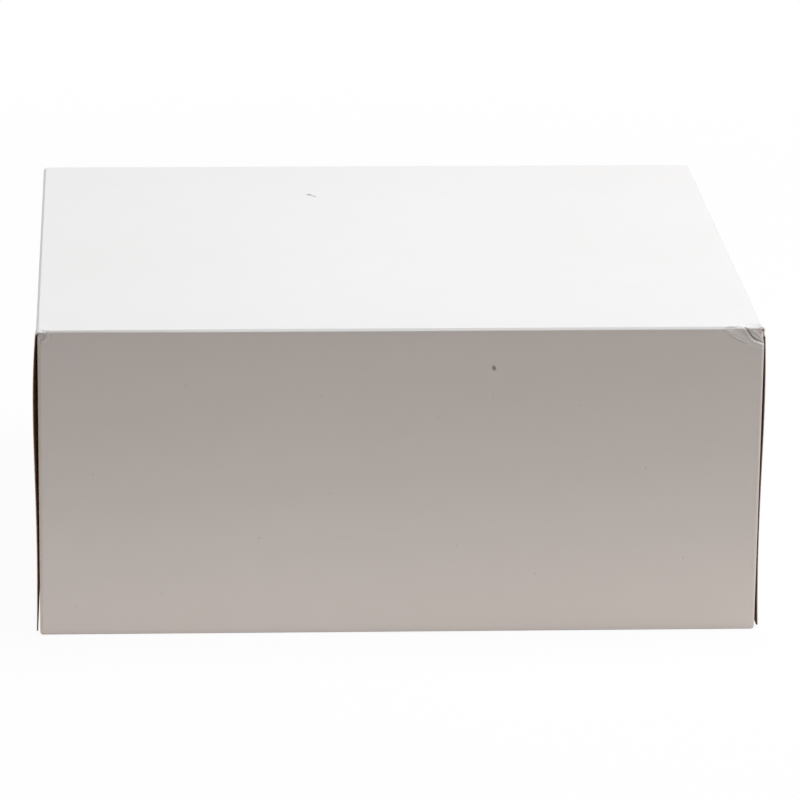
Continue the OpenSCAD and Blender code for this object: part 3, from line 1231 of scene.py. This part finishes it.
def light_world():
    """Soft warm surroundings that show as plain white."""
    world = bpy.data.worlds.new("studio")
    bpy.context.scene.world = world
    world.use_nodes = True
    tree = world.node_tree
    around = tree.nodes["Background"]
    fill_in(around, {"Color": (*AMBIENT, 1), "Strength": AMBIENT_STRENGTH})
    white = tree.nodes.new("ShaderNodeBackground")
    fill_in(white, {"Color": (1, 1, 1, 1), "Strength": 1.0})
    seen = seen_directly(tree)
    sky = mix_shaders(tree, seen, around.outputs["Background"], white.outputs["Background"])
    tree.links.new(sky, tree.nodes["World Output"].inputs["Surface"])


def add_softbox(name, place, aim, size, power, colour):
    """Square soft lamp at a place, turned towards a point."""
    lamp = bpy.data.lights.new(name, "AREA")
    lamp.shape = "SQUARE"
    lamp.size = size
    lamp.energy = power
    lamp.color = colour
    holder = bpy.data.objects.new(name, lamp)
    bpy.context.scene.collection.objects.link(holder)
    holder.location = place
    holder.rotation_euler = (Vector(aim) - Vector(place)).to_track_quat("-Z", "Y").to_euler()
    holder.visible_camera = False
    return holder


def add_card(name, place, size, power, colour):
    """Glowing card that lies on the floor and faces up, like the light of a bright table."""
    card = add_softbox(name, place, (place[0], place[1], 1), size[0], power, colour)
    card.data.shape = "RECTANGLE"
    card.data.size_y = size[1]
    card.rotation_euler = (math.radians(180), 0, 0)


def add_camera():
    """Camera at the photograph's place, angle and framing."""
    forward = Vector(
        (
            math.sin(CAMERA_YAW) * math.cos(CAMERA_PITCH),
            math.cos(CAMERA_YAW) * math.cos(CAMERA_PITCH),
            -math.sin(CAMERA_PITCH),
        )
    )
    level = Vector((math.cos(CAMERA_YAW), -math.sin(CAMERA_YAW), 0))
    upright = level.cross(forward)
    right = math.cos(CAMERA_ROLL) * level + math.sin(CAMERA_ROLL) * upright
    up = math.cos(CAMERA_ROLL) * upright - math.sin(CAMERA_ROLL) * level
    turned = Matrix((right, up, -forward)).transposed()
    data = bpy.data.cameras.new("photo_camera")
    data.lens = CAMERA_LENS
    data.sensor_width = 36
    data.clip_start = 0.05
    data.clip_end = 60
    camera = bpy.data.objects.new("photo_camera", data)
    bpy.context.scene.collection.objects.link(camera)
    camera.matrix_world = Matrix.Translation(CAMERA_PLACE) @ turned.to_4x4()
    bpy.context.scene.camera = camera


add_floor()
light_world()
BOX_MIDDLE = (0, 0, 0.05)
add_softbox(
    "top_softbox", (0.22, -0.04, 1.5), BOX_MIDDLE, size=1.1, power=19.7, colour=(0.92, 0.956, 1.0)
)
add_softbox(
    "right_softbox", (0.85, 0.12, 0.22), BOX_MIDDLE, size=0.4, power=3.4, colour=(1.0, 0.965, 0.945)
)
card_place = (0.16, FRONT_Y - 0.0505, 0.0002)
add_card("floor_card", card_place, size=(0.8, 0.1), power=0.12, colour=(1.0, 0.90, 0.87))
add_camera()
bpy.context.scene.view_settings.view_transform = "Standard"
